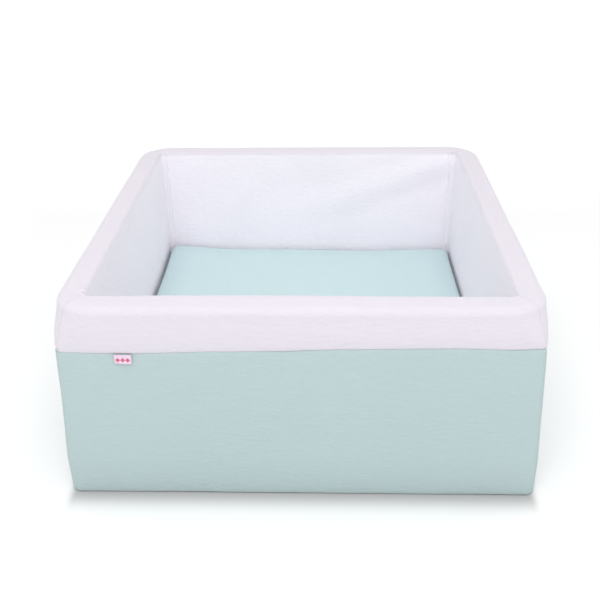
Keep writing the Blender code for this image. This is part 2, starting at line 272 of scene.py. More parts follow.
def open_foam():
    made = Finish("foam", roughness=0.97)
    pores = made.noise(900.0, 4.0)
    made.feed("Base Color", made.mix(pores, (0.72, 0.69, 0.58), (0.90, 0.88, 0.80)))
    made.feed("Normal", made.bump(pores, 0.0006, 0.8))
    return made.material


def woven_tape():
    made = Finish("zip_tape", roughness=0.80)
    x, _, z = made.parts(made.place())
    weave = (x * (FULL_TURN / TAPE_THREAD)).sine() * (z * (FULL_TURN / TAPE_THREAD)).sine()
    made.feed("Base Color", made.mix(weave * 0.5 + 0.5, (0.50, 0.63, 0.62), (0.57, 0.70, 0.69)))
    made.feed("Normal", made.bump(weave, 0.0001, 0.7))
    return made.material


def satin_metal():
    made = Finish("zip_metal", roughness=0.30, metallic=1.0)
    grain = made.noise(700.0, 3.0)
    made.feed("Base Color", made.mix(grain, (0.64, 0.65, 0.66), (0.76, 0.77, 0.78)))
    made.feed("Roughness", grain * 0.16 + 0.24)
    return made.material


def moulded_teeth():
    made = Finish("zip_plastic", roughness=0.42)
    flow = made.noise(300.0, 2.0)
    made.feed("Base Color", made.mix(flow, (0.76, 0.80, 0.80), (0.82, 0.86, 0.86)))
    made.feed("Roughness", flow * 0.12 + 0.36)
    return made.material


FOAM, TAPE, METAL, TEETH = open_foam(), woven_tape(), satin_metal(), moulded_teeth()
print("finishes", sorted(material.name for material in bpy.data.materials))

# %% [markdown]
# ## The cover as rings
# A wall's cover is the same shape all the way round, so it starts as a stack of level rings: a
# square with rounded corners at each height. Bridging neighbouring rings makes a skin. Then the
# long straight edges are divided, so that the cloth has enough points to crease.

# %% Rings and bridges
CORNER_STEPS = 14
LONG_CUTS = 104
LONG_EDGE = 0.3  # only the straight runs between the corners are longer
MITRE_CUTS = (-0.006, -0.003, 0, 0.003, 0.006)  # cuts beside a diagonal, where the cloth sinks
ON_PLANE = 0.00002  # points this close to a cut count as on it, which leaves no slivers


def ring_at(bm, inset, radius, z):
    """The edges of a rounded square at one height."""
    before = set(bm.edges)
    half = FOOT_HALF - inset
    place = Matrix.Translation((0, 0, z)) @ Matrix.Diagonal((half, half, 1, 1))
    made = bmesh.ops.create_grid(bm, x_segments=1, y_segments=1, size=1, matrix=place)
    bmesh.ops.bevel(
        bm,
        geom=made["verts"],
        offset=radius,
        offset_type="OFFSET",
        affect="VERTICES",
        segments=CORNER_STEPS,
        profile=0.5,
        material=-1,
    )
    edges = [edge for edge in bm.edges if edge not in before]
    faces = {face for edge in edges for face in edge.link_faces}
    bmesh.ops.delete(bm, geom=list(faces), context="FACES_ONLY")
    return edges


def cut_along(bm, normal, offset):
    """Adds edges where a plane passes. Points that are already on it are used as they are."""
    everything = bm.verts[:] + bm.edges[:] + bm.faces[:]
    place = normal * offset
    bmesh.ops.bisect_plane(bm, geom=everything, plane_co=place, plane_no=normal, dist=ON_PLANE)


def ring_skin(path, fine_cuts=()):
    """A skin through rings, given as (inset, corner radius, height), with extra cuts across it."""
    bm = bmesh.new()
    rings = [ring_at(bm, *point) for point in path]
    for lower, upper in zip(rings, rings[1:]):
        bmesh.ops.bridge_loops(bm, edges=lower + upper)
    long_edges = [edge for edge in bm.edges if edge.calc_length() > LONG_EDGE]
    bmesh.ops.subdivide_edges(bm, edges=long_edges, cuts=LONG_CUTS, use_grid_fill=True)
    for across in (Vector((1, 1, 0)), Vector((1, -1, 0))):
        for offset in MITRE_CUTS:
            cut_along(bm, across.normalized(), offset)
    for axis, place in fine_cuts:
        cut_along(bm, Vector((axis == 0, axis == 1, 0)), place)
    bmesh.ops.recalc_face_normals(bm, faces=bm.faces)
    return bm


def arc(inset, z, radius, start, end, steps):
    """Points (inset, z) round an edge; 0 degrees faces out and 90 faces up."""
    points = []
    for step in range(steps + 1):
        angle = math.radians(start + (end - start) * step / steps)
        points.append((inset - radius * math.cos(angle), z + radius * math.sin(angle)))
    return points


def run(first, last, steps):
    """Values from first to last, without the last."""
    return [first + (last - first) * step / steps for step in range(steps)]


# %% [markdown]
# ## How cloth creases
# Jersey stretched over foam is nearly smooth. What shows is where it is caught: it sinks along
# each seam, ripples where the seam pulls, and folds at the inner corners. A crease is a short
# line in space, and every point of the cloth near it moves along its own normal, less the
# further away it is.


# %% Creases
def crease(start, end, width, height):
    """A line where the cloth stands up, or sinks if the height is below 0. It dies away to its end."""
    return Vector(start), Vector(end), width, height


def near_line(point, first, last):
    """How far a point is from a line, and how far along the line it is, from 0 to 1."""
    line = last - first
    along = max(0.0, min(1.0, (point - first).dot(line) / line.length_squared))
    return (point - first - line * along).length, along


def crease_height(point, line):
    """How far one crease moves a point."""
    start, end, width, height = line
    distance, along = near_line(point, start, end)
    if distance > 3 * width:
        return 0.0
    return height * math.exp(-((distance / width) ** 2)) * (1 - along) ** 0.7


def bell(value, middle, width):
    return math.exp(-(((value - middle) / width) ** 2))


def facing(point):
    """The name of the wall that a point belongs to."""
    if abs(point.x) > abs(point.y):
        return "right" if point.x > 0 else "left"
    return "back" if point.y > 0 else "front"


def seam_drop(point):
    """The seam isn't quite level: it sags a few millimetres where the cloth is slack."""
    side = facing(point)
    along = point.x if side in ("front", "back") else point.y
    if side == "front":
        slack = 0.0025 * bell(along, -0.30, 0.08) + 0.0020 * bell(along, 0.36, 0.04)
        return slack - 0.0054 * math.tanh(along / 0.2)
    return 0.0022 * noise.noise(Vector((along * 4.0, len(side), 0.5)))


# %% [markdown]
# ## White rim covers
# One panel on each side is the padded band outside, goes over the rim and hangs down inside to
# the floor. The real ones are sewn together at mitres from the inner to the outer corner, so the
# cloth sinks there.

# %% The path over the rim
BAND_STEPS, TOP_STEPS, LINING_STEPS = 11, 8, 24
RIM_CORNER, SEAM_CORNER, INNER_CORNER = 0.070, 0.015, 0.012
BULGE = 0.0018  # how far the padded band stands out
RIM_ROUNDING = 0.3  # how fast the corners tighten as the rim turns in
RIM_FALL = 0.0005  # the top falls this much inwards, because bridging needs rings at unlike heights
EDGE_TUCK = 0.0014  # how far the band's lower edge turns in to the seam
TUCK_REACH = 0.004  # how far above the seam that turn reaches


def rim_path():
    shoulder_z = TOP - SHOULDER
    path = []
    for z in run(SEAM_Z + GAP, shoulder_z, BAND_STEPS):
        share = (z - SEAM_Z) / (shoulder_z - SEAM_Z)
        tuck = EDGE_TUCK * bell(z, SEAM_Z, TUCK_REACH)
        inset = FLARE - BULGE * math.sin(math.pi * min(1.0, share * 1.1 + 0.04)) + tuck
        path.append((inset, SEAM_CORNER + (RIM_CORNER - SEAM_CORNER) * share, z))
    for inset, z in arc(FLARE + SHOULDER, shoulder_z, SHOULDER, 0, 90, 9):
        path.append((inset, RIM_CORNER - RIM_ROUNDING * (inset - FLARE), z))
    outer_inset, outer_radius = path[-1][0], path[-1][1]
    inner = arc(LINING - INNER_EDGE, TOP - RIM_FALL - INNER_EDGE, INNER_EDGE, 90, 180, 7)
    insets = run(outer_inset, inner[0][0], TOP_STEPS)[1:]
    flat = [(inset, TOP - RIM_FALL * (step + 1) / TOP_STEPS) for step, inset in enumerate(insets)]
    for inset, z in flat + inner:
        share = (inset - outer_inset) / (LINING - outer_inset)
        path.append((inset, outer_radius + (INNER_CORNER - outer_radius) * share, z))
    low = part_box("rim_cover_front")[0][2]
    for z in run(inner[-1][1], low, LINING_STEPS)[1:] + [low]:
        path.append((LINING, INNER_CORNER, z))
    return path


print("rings over the rim", len(rim_path()))

# %% Where the white cloth creases
RIM_CREASES = [
    # front left: small folds fan from the inner corner across the left rim
    crease((-CLEAR - 0.001, -CLEAR - 0.002, TOP), (-0.440, -0.412, 0.394), 0.0026, 0.0024),
    crease((-CLEAR - 0.002, -CLEAR + 0.006, TOP), (-0.441, -0.398, 0.392), 0.0020, -0.0018),
    crease((-CLEAR - 0.002, -CLEAR + 0.011, TOP), (-0.441, -0.390, 0.394), 0.0024, 0.0022),
    crease((-CLEAR - 0.002, -CLEAR + 0.018, TOP), (-0.441, -0.378, 0.394), 0.0020, -0.0013),
    crease((-CLEAR - 0.002, -CLEAR + 0.023, TOP), (-0.440, -0.366, 0.394), 0.0026, 0.0014),
    # front right: a soft fold beside the mitre
    crease((CLEAR, -CLEAR - 0.002, TOP), (0.425, -0.425, 0.396), 0.0050, 0.0016),
    # back left: a roll beside the corner seam, from the rim to the mat, with a groove at each side
    crease((-CLEAR + 0.0075, CLEAR, TOP - 0.006), (-CLEAR + 0.0078, CLEAR, -0.30), 0.0026, 0.0032),
    crease((-CLEAR + 0.0030, CLEAR, TOP - 0.006), (-CLEAR + 0.0032, CLEAR, -0.30), 0.0018, -0.0016),
    crease((-CLEAR + 0.0125, CLEAR, TOP - 0.010), (-CLEAR + 0.0130, CLEAR, -0.10), 0.0018, -0.0016),
    crease((-CLEAR + 0.0180, CLEAR, TOP - 0.030), (-CLEAR + 0.0150, CLEAR, 0.10), 0.0030, 0.0012),
    crease((-CLEAR, CLEAR, TOP), (-0.425, 0.412, TOP - 0.004), 0.0045, 0.0010),
    # back right: the cloth is pinched at the rim and pulls down the wall
    crease((CLEAR, CLEAR, TOP), (0.418, 0.420, TOP - 0.004), 0.0042, 0.0026),
    crease((CLEAR - 0.012, CLEAR + 0.004, TOP), (CLEAR - 0.030, CLEAR + 0.030, TOP), 0.0040, 0.0018),
    crease((CLEAR + 0.004, CLEAR - 0.012, TOP), (CLEAR + 0.030, CLEAR - 0.006, TOP), 0.0040, 0.0018),
    crease((CLEAR - 0.0075, CLEAR, TOP - 0.004), (CLEAR - 0.0082, CLEAR, -0.20), 0.0026, 0.0026),
    crease((CLEAR - 0.0135, CLEAR, TOP - 0.002), (CLEAR - 0.0140, CLEAR, 0.06), 0.0018, -0.0016),
    crease((CLEAR - 0.0200, CLEAR, TOP - 0.002), (CLEAR - 0.0208, CLEAR, 0.12), 0.0028, 0.0018),
    crease((CLEAR - 0.0300, CLEAR, TOP - 0.010), (CLEAR - 0.0340, CLEAR, 0.10), 0.0035, 0.0010),
    # and from there a long soft fold hangs across the back lining
    crease((0.360, CLEAR, 0.376), (-0.120, CLEAR, 0.205), 0.0260, 0.0034),
    crease((0.365, CLEAR, 0.338), (-0.060, CLEAR, 0.185), 0.0190, -0.0018),
]
# Faint stretch lines low in the band, between the middle and the front right corner.
BAND_Y = -FOOT_HALF + 0.010
for step in range(7):
    left = 0.02 + 0.045 * step
    z = SEAM_Z + 0.012 + 0.006 * (step % 3)
    height = 0.0007 if step % 2 else -0.0006
    RIM_CREASES.append(crease((left, BAND_Y, z), (left + 0.11, BAND_Y, z - 0.002), 0.0030, height))
print("creases", len(RIM_CREASES))


# %% Move the cloth
SAG_REACH = 0.03  # how far from the outline, or from the seam, the seam's sagging is felt


def softness(point, size, height):
    """The slow unevenness of cloth over foam."""
    return height * noise.noise(point / size)


MITRE_EDGE, MITRE_FADE = 0.012, 0.02  # it is weak this far in from the outline, then grows over this
MITRE_LEAST = 0.15  # the weakest share


def mitre_sink(point, depth, width):
    """How far the cloth sinks at a corner seam, which is on a diagonal of the square."""
    distance = abs(abs(point.x) - abs(point.y)) / math.sqrt(2)
    inset = FOOT_HALF - MITRE_EDGE - max(abs(point.x), abs(point.y))
    fade = min(1.0, max(MITRE_LEAST, inset / MITRE_FADE))
    return -depth * fade * bell(distance, 0.0, width)


def move_cloth(bm, height_at, drop_at=None):
    """Moves each point along its normal by height_at, and down by drop_at."""
    bm.normal_update()
    moves = []
    for vert in bm.verts:
        drop = drop_at(vert.co) if drop_at else 0.0
        moves.append((vert, vert.normal * height_at(vert.co) - Vector((0, 0, drop))))
    for vert, move in moves:
        vert.co += move


def front_crown(point):
    """The front rim is a little fuller along its inner edge, most of all at the left."""
    if facing(point) != "front" or point.z < TOP - 0.012:
        return 0.0
    return (0.0034 - 0.0044 * point.x) * bell(-point.y, CLEAR + 0.012, 0.020) * bell(point.x, 0.0, 0.34)


def rim_height(point):
    height = softness(point, 0.11, 0.0008) + softness(point, 0.035, 0.0003)
    height += mitre_sink(point, 0.0013, 0.0034) + front_crown(point)
    return height + sum(crease_height(point, line) for line in RIM_CREASES)


def rim_drop(point):
    outside = max(abs(point.x), abs(point.y)) > FOOT_HALF - SAG_REACH
    return seam_drop(point) * bell(point.z, SEAM_Z, SAG_REACH) if outside else 0.0


FINE = 0.0018  # how close the cuts are where the lining folds beside a corner
fine_cuts = [(0, -CLEAR + FINE * (step + 1)) for step in range(14)]
fine_cuts += [(0, CLEAR - FINE * (step + 1)) for step in range(20)]
fine_cuts += [(1, -CLEAR - 0.020 + FINE * step) for step in range(26)]
rim_skin = ring_skin(rim_path(), fine_cuts)
move_cloth(rim_skin, rim_height, rim_drop)
print("rim cloth", len(rim_skin.verts), "points")

# %% [markdown]
# ## From rings to sewn panels
# The cloth is cut into its four panels along the diagonals, so each panel is a piece of its own
# like the real one. A Solidify modifier gives it the cloth's thickness, inwards. A zip's slot is
# cut out along the outer edges of its two tapes.


# %% Cut panels and finish a piece
def box_map(mesh):
    """A map in metres: each face is laid flat along the two axes that it faces least."""
    layer = mesh.uv_layers.new(name="cloth")
    for face in mesh.polygons:
        size = [abs(value) for value in face.normal]
        drop = size.index(max(size))
        keep = [axis for axis in (0, 1, 2) if axis != drop]
        for corner in face.loop_indices:
            place = mesh.vertices[mesh.loops[corner].vertex_index].co
            layer.data[corner].uv = (place[keep[0]], place[keep[1]])


def finish_piece(name, bm, material, body, nodes):
    """Makes an object of a mesh, with its finish and its place in the model."""
    mesh = bpy.data.meshes.new(name)
    bm.to_mesh(mesh)
    bm.free()
    mesh.shade_smooth()
    mesh.materials.append(material)
    box_map(mesh)
    piece = bpy.data.objects.new(name, mesh)
    bpy.context.scene.collection.objects.link(piece)
    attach(piece, body)
    if nodes:
        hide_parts(*nodes)
    return piece


def thicken(piece, thickness):
    cloth = piece.modifiers.new("thickness", "SOLIDIFY")
    cloth.thickness = thickness
    cloth.offset = -1
    cloth.edge_crease_outer = cloth.edge_crease_inner = 1.0


def smoother(piece):
    rounder = piece.modifiers.new("rounder", "SUBSURF")
    rounder.levels = rounder.render_levels = 1


def panel(skin, side):
    """A copy of the skin with only one wall's faces left."""
    cut = skin.copy()
    others = [face for face in cut.faces if facing(face.calc_center_median()) != side]
    bmesh.ops.delete(cut, geom=others, context="FACES")
    return cut


# %% Cut a slot
def slot_box(zip_name):
    """The box that a zip's two tapes fill, with a gap round it."""
    boxes = [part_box(f"{zip_name}_tape_{row}") for row in ("lower", "upper")]
    low = [min(box[0][axis] for box in boxes) - GAP for axis in range(3)]
    high = [max(box[1][axis] for box in boxes) + GAP for axis in range(3)]
    return low, high


def slot_faces(bm, low, high, side):
    """Cuts the mesh along a slot's four edges and gives the faces of one side that are in it."""
    for axis in (0, 2):
        for place in (low[axis], high[axis]):
            cut_along(bm, Vector((axis == 0, 0, axis == 2)), place)
    found = []
    for face in bm.faces:
        x, y, z = face.calc_center_median()
        if low[0] < x < high[0] and low[2] < z < high[2] and facing(Vector((x, y, z))) == side:
            found.append(face)
    return found


print("back zip slot", slot_box("back_zip"), "mat zip slot", slot_box("mat_zip"))

# %% The four rim covers
SIDES = ("front", "back", "left", "right")
THIN_CLOTH = CLOTH * 0.8  # a little less than the model's, which leaves room for creases
for side in SIDES:
    node = "rim_cover_" + side
    cloth = panel(rim_skin, side)
    piece = finish_piece("rim_cloth_" + side, cloth, WHITE, "playpen", [node])
    thicken(piece, THIN_CLOTH)
    smoother(piece)
rim_skin.free()

# %% [markdown]
# ## Mint skirts
# The skirt is pulled from the seam down to the foot and turns under it. Its upper edge turns in
# to meet the band, and it puckers a little at the foot, where it is sewn to the base cloth.

# %% The path down the skirt
SKIRT_STEPS = 38
SEAM_LAP = 0.0024  # the skirt's seam allowance, which runs up behind the band
SKIRT_TUCK = 0.0024  # how far its upper edge turns in to the seam
SKIRT_TUCK_REACH = 0.0045  # and how far down that turn reaches
SEAM_ZONE = 0.006  # the height below the seam where the rings are closer together
FOOT_EDGE, FOOT_CORNER = 0.0018, 0.020  # the radii of the foot's edge and of its corners
FOOT_TURN = 0.0060  # how far under the body the foot's edge reaches, to meet the base cloth


def skirt_path():
    path = [(FOOT_TURN, FOOT_CORNER - FOOT_TURN, FOOT_Z)]
    edge = arc(FOOT_EDGE, FOOT_Z + FOOT_EDGE + GAP / 2, FOOT_EDGE, -90, 0, 6)
    path += [(inset, FOOT_CORNER - inset, z) for inset, z in edge]
    top = SEAM_Z + SEAM_LAP
    zone = SEAM_Z - SEAM_ZONE
    for z in run(path[-1][2], zone, SKIRT_STEPS)[1:] + run(zone, top, 6) + [top]:
        rise = max(0.0, z - KNEE_Z) / (SEAM_Z - KNEE_Z)
        tuck = SKIRT_TUCK * bell(z, top, SKIRT_TUCK_REACH)
        path.append((FLARE * rise + tuck, FOOT_CORNER + (SEAM_CORNER - FOOT_CORNER) * rise, z))
    return path


LABEL_LOW, LABEL_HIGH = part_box("label")
LABEL_X = (LABEL_LOW[0] + LABEL_HIGH[0]) / 2
SKIRT_CREASES = [
    # beside the label and near the right corner, where the seam pulls
    crease((LABEL_LOW[0], -0.438, SEAM_Z - 0.004), (LABEL_LOW[0] - 0.03, -0.439, 0.305), 0.006, -0.0016),
    crease((LABEL_HIGH[0], -0.438, SEAM_Z - 0.004), (LABEL_HIGH[0] + 0.04, -0.440, 0.306), 0.007, -0.0018),
    crease((0.31, -0.438, SEAM_Z - 0.006), (0.37, -0.440, 0.300), 0.0060, -0.0010),
]
# Small puckers run up from the foot of the front.
for step in range(9):
    x = -0.41 + 0.035 * step + 0.008 * math.sin(step * 2.1)
    foot, end = (x, -FOOT_HALF, 0.010), (x + 0.006, -FOOT_HALF, 0.034)
    SKIRT_CREASES.append(crease(foot, end, 0.0045, -0.0010))


def skirt_height(point):
    height = softness(point, 0.14, 0.0012) + softness(point, 0.045, 0.0004)
    height += mitre_sink(point, 0.0006, 0.0030)
    return height + sum(crease_height(point, line) for line in SKIRT_CREASES)


def skirt_drop(point):
    return seam_drop(point) * bell(point.z, SEAM_Z, SAG_REACH)


skirt_skin = ring_skin(skirt_path())
move_cloth(skirt_skin, skirt_height, skirt_drop)
for side in SIDES:
    node = "skirt_" + side
    cloth = panel(skirt_skin, side)
    if side == "back":
        opening = slot_faces(cloth, *slot_box("back_zip"), side)
        bmesh.ops.delete(cloth, geom=opening, context="FACES")
    piece = finish_piece("skirt_cloth_" + side, cloth, MINT, "playpen", [node])
    thicken(piece, THIN_CLOTH)
skirt_skin.free()

# %% [markdown]
# ## Foam inside the walls
# The foam is cut from slabs, with mitred ends and edges that give a little under the cover. It is
# never seen in use, but it is what the cloth is stretched over, so it stays just behind the cloth.


# %% Wall foams
FOAM_SHY = 0.0055  # how far the foam's softened face is behind the band
LINING_SHY = 0.0045  # and behind the lining
TOP_SHY = 0.0050
FOAM_BEND = 0.02  # how far below the seam its corners start to open
FOAM_SHOULDER, FOAM_INNER_EDGE = 0.014, 0.008
FOAM_RIM_CORNER = 0.022  # its corner radius where the top turns down inside


def foam_path():
    outer, inner = FLARE + FOAM_SHY, LINING - LINING_SHY
    top = TOP - TOP_SHY
    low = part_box("wall_foam_front")[0][2]
    bend, shoulder_z = SEAM_Z - FOAM_BEND, top - FOAM_SHOULDER
    path = [(outer, SEAM_CORNER, z) for z in run(low, bend, 8)]
    for z in run(bend, shoulder_z, 6):
        share = (z - bend) / (shoulder_z - bend)
        path.append((outer, SEAM_CORNER + (RIM_CORNER - SEAM_CORNER) * share, z))
    for inset, z in arc(outer + FOAM_SHOULDER, shoulder_z, FOAM_SHOULDER, 0, 90, 5):
        path.append((inset, RIM_CORNER - RIM_ROUNDING * (inset - outer), z))
    for inset, z in arc(inner - FOAM_INNER_EDGE, top - FOAM_INNER_EDGE, FOAM_INNER_EDGE, 90, 180, 4):
        path.append((inset, FOAM_RIM_CORNER, z - RIM_FALL))
    end = low + RIM_FALL
    for z in run(path[-1][2], end, 10)[1:] + [end]:
        path.append((inner, INNER_CORNER + LINING_SHY, z))
    return path


def foam_skin():
    bm = ring_skin(foam_path())
    open_edges = [edge for edge in bm.edges if edge.is_boundary]
    bmesh.ops.bridge_loops(bm, edges=open_edges)
    move_cloth(bm, lambda point: softness(point, 0.06, 0.0005))
    return bm


foam = foam_skin()
for side in SIDES:
    slab = panel(foam, side)
    bmesh.ops.holes_fill(slab, edges=[edge for edge in slab.edges if edge.is_boundary], sides=0)
    bmesh.ops.recalc_face_normals(slab, faces=slab.faces)
    piece = finish_piece("foam_" + side, slab, FOAM, "playpen", ["wall_foam_" + side])
foam.free()
print("wall foams", len(SIDES))


# %% Base foam
BASE_SHY = 0.0008  # how much smaller than its node the base foam is, on each side
BASE_EDGE = 0.003
BASE_CUTS = 31


def foam_block(node, shy, edge):
    """A slab a little smaller than its node, with edges that give."""
    low, high = Vector(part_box(node)[0]), Vector(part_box(node)[1])
    size = high - low - Vector((2 * shy, 2 * shy, 2 * shy))
    bm = bmesh.new()
    place = Matrix.Translation((low + high) / 2) @ Matrix.Diagonal((*size, 1))
    bmesh.ops.create_cube(bm, size=1, matrix=place)
    bmesh.ops.subdivide_edges(bm, edges=bm.edges, cuts=BASE_CUTS, use_grid_fill=True)
    around = [found for found in bm.edges if found.calc_face_angle(0) > 1]
    bmesh.ops.bevel(bm, geom=around, offset=edge, affect="EDGES", segments=3, profile=0.5, material=-1)
    move_cloth(bm, lambda point: softness(point, 0.05, shy / 2))
    return bm


slab = foam_block("base_foam", BASE_SHY, BASE_EDGE)
base = finish_piece("foam_base", slab, FOAM, "playpen", ["base_foam"])
print("base foam", len(base.data.vertices), "points")

# %% [markdown]
# ## Base and floor cloths
# The base cloth closes the cover underneath. The floor cloth lies on the base foam under the mat.
# It shows in the narrow gap round the mat, and when the mat is lifted out.


# %% Flat cloths
FLAT_CORNER = 0.012
HALVINGS = 5  # how many times each edge is halved, to give points for the waves
WAVE = 0.0004  # how deep the waves are
WAVE_FADE = 0.05  # how far from an edge the waves are at their full depth


def flat_cloth(node, name, material):
    """A thin flat cloth in its node's place, with soft waves that die away at its edges."""
    low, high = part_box(node)
    half_x, half_y = (high[0] - low[0]) / 2, (high[1] - low[1]) / 2
    bm = bmesh.new()
    place = Matrix.Translation((0, 0, high[2])) @ Matrix.Diagonal((half_x, half_y, 1, 1))
    made = bmesh.ops.create_grid(bm, x_segments=1, y_segments=1, size=1, matrix=place)
    bmesh.ops.bevel(
        bm,
        geom=made["verts"],
        offset=FLAT_CORNER,
        affect="VERTICES",
        segments=6,
        profile=0.5,
        material=-1,
    )
    bmesh.ops.triangulate(bm, faces=bm.faces)
    for step in range(HALVINGS):
        bmesh.ops.subdivide_edges(bm, edges=bm.edges, cuts=1, use_grid_fill=True)
    for vert in bm.verts:
        share = min(half_x - abs(vert.co.x), half_y - abs(vert.co.y)) / WAVE_FADE
        vert.co.z -= WAVE * abs(noise.noise(vert.co * 9)) * min(1.0, max(0.0, share))
    piece = finish_piece(name, bm, material, "playpen", [node])
    thicken(piece, CLOTH * 0.5)


flat_cloth("floor_cloth", "floor_sheet", WHITE)
flat_cloth("base_cloth", "base_sheet", MINT)
print("base and floor cloths laid")

# %% [markdown]
# ## The floor mat
# The mat is foam in a zipped jersey cover. It starts as a slightly small rounded block. A cloth
# simulation with a little pressure inside makes it swell between its edges as a stuffed cover
# does. The swelling is capped, so that it still lifts out of the walls.

# %% The mat's block
MAT_BOXES = [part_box(node) for node in ("mat_cover", "mat_underside")]
MAT_LOW = [min(box[0][axis] for box in MAT_BOXES) for axis in range(3)]
MAT_HIGH = [max(box[1][axis] for box in MAT_BOXES) for axis in range(3)]
MAT_SHY = 0.0012  # the block starts this much inside the cover
MAT_CORNER, MAT_EDGE = 0.020, 0.0065
MAT_SWELL = 0.0045  # the furthest that a point may swell
MAT_VOXEL = 0.008
MAT_PRESSURE = 4.0
SWELL_FRAMES = 20


def mat_block():
    bm = bmesh.new()
    size = [MAT_HIGH[axis] - MAT_LOW[axis] - 2 * MAT_SHY for axis in range(3)]
    middle = [(MAT_HIGH[axis] + MAT_LOW[axis]) / 2 for axis in range(3)]
    place = Matrix.Translation(middle) @ Matrix.Diagonal((*size, 1))
    bmesh.ops.create_cube(bm, size=1, matrix=place)
    upright = [edge for edge in bm.edges if abs(edge.verts[0].co.z - edge.verts[1].co.z) > 0.01]
    bmesh.ops.bevel(bm, geom=upright, offset=MAT_CORNER, affect="EDGES", segments=8, profile=0.5, material=-1)
    around = [edge for edge in bm.edges if edge.is_manifold and edge.calc_face_angle(0) > 1]
    bmesh.ops.bevel(bm, geom=around, offset=MAT_EDGE, affect="EDGES", segments=5, profile=0.5, material=-1)
    return bm


def swell(piece):
    """Remeshes a block, swells it by cloth simulation and limits how far each point moved."""
    fine = piece.modifiers.new("even", "REMESH")
    fine.mode, fine.voxel_size = "VOXEL", MAT_VOXEL
    bpy.context.view_layer.objects.active = piece
    bpy.ops.object.modifier_apply(modifier="even")
    rest = [vert.co.copy() for vert in piece.data.vertices]
    cloth = piece.modifiers.new("swell", "CLOTH")
    cloth.settings.use_pressure = True
    cloth.settings.uniform_pressure_force = MAT_PRESSURE
    cloth.settings.effector_weights.gravity = 0
    for number in range(1, SWELL_FRAMES + 1):
        bpy.context.scene.frame_set(number)
    bpy.ops.object.modifier_apply(modifier="swell")
    for vert, start in zip(piece.data.vertices, rest):
        move = vert.co - start
        if move.length > MAT_SWELL:
            vert.co = start + move.normalized() * MAT_SWELL
    bpy.context.scene.frame_set(1)


# %% Swell the mat and give it its cover's shape
MAT_WAVE = 0.0012
MAT_DROOP = 0.0042  # its back edge hangs a little, right of the middle
MAT_LIFT = 0.0120  # its back left corner stands up a little
mat_nodes = ["mat_cover", "mat_foam", "mat_underside"]
mat = finish_piece("floor_mat_pad", mat_block(), PALE_MINT, "floor_mat", mat_nodes)
swell(mat)
for vert in mat.data.vertices:
    x, y, z = vert.co
    share = (z - MAT_LOW[2]) / (MAT_HIGH[2] - MAT_LOW[2])
    z += share * MAT_WAVE * noise.noise(Vector((x, y, 0)) * 6)
    z -= share * MAT_DROOP * bell(x, 0.16, 0.12) * bell(y, MAT_HIGH[1], 0.05)
    z += share * MAT_LIFT * bell(math.hypot(x - MAT_LOW[0], y - MAT_HIGH[1]), 0.0, 0.11)
    x = min(max(x, MAT_LOW[0]), MAT_HIGH[0])
    y = min(max(y, MAT_LOW[1]), MAT_HIGH[1])
    vert.co = (x, y, max(z, MAT_LOW[2]))

# %% Sink the slot for the mat's zip
sunk = bmesh.new()
sunk.from_mesh(mat.data)
slot_low, slot_high = slot_box("mat_zip")
pocket = slot_faces(sunk, slot_low, slot_high, "front")
made = bmesh.ops.extrude_face_region(sunk, geom=pocket)
bmesh.ops.delete(sunk, geom=pocket, context="FACES_ONLY")
for vert in [part for part in made["geom"] if isinstance(part, bmesh.types.BMVert)]:
    vert.co.y = slot_high[1]
sunk.to_mesh(mat.data)
sunk.free()
mat.data.shade_smooth()
mat.data.set_sharp_from_angle(angle=math.radians(60))
for layer in list(mat.data.uv_layers):
    mat.data.uv_layers.remove(layer)
box_map(mat.data)
print("mat", len(mat.data.vertices), "points")

# %% [markdown]
# ## Zip teeth
# A zip's row is hundreds of small moulded teeth, so each is only a short block, and the upper row
# is half a pitch along from the lower one, so that the two rows mesh when the zip is closed. Both
# zips lie in a slot of their cover. Past each end stop, a bar tack of thread holds the tapes together.


# %% Rows of teeth
TOOTH_PITCH = 0.0021
TOOTH_SHARE = 0.44  # how much of the pitch a tooth fills
ROW_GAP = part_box("back_zip_teeth_upper")[0][2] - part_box("back_zip_teeth_lower")[1][2]
MESH_OVER = ROW_GAP * 0.65  # each row reaches past the middle, between the other row's teeth


def teeth_row(node, body, shifted):
    """One row of teeth. Gives how many there are."""
    low, high = Vector(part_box(node)[0]), Vector(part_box(node)[1])
    if shifted:
        low.z -= MESH_OVER
    else:
        high.z += MESH_OVER
    count = int((high.x - low.x) / TOOTH_PITCH)
    middle = (low + high) / 2
    size = (TOOTH_PITCH * TOOTH_SHARE, high.y - low.y, high.z - low.z)
    bm = bmesh.new()
    for number in range(count):
        x = low.x + TOOTH_PITCH * (number + (0.75 if shifted else 0.35))
        place = Matrix.Translation((x, middle.y, middle.z)) @ Matrix.Diagonal((*size, 1))
        bmesh.ops.create_cube(bm, size=1, matrix=place)
    piece = finish_piece(node + "_row", bm, TEETH, body, [node])
    piece.data.shade_flat()
    return count


ZIPS = (("back_zip", "playpen"), ("mat_zip", "floor_mat"))
for zip_name, body in ZIPS:
    for row in ("upper", "lower"):
        teeth = teeth_row(f"{zip_name}_teeth_{row}", body, row == "upper")
    print(zip_name, teeth, "teeth in a row")


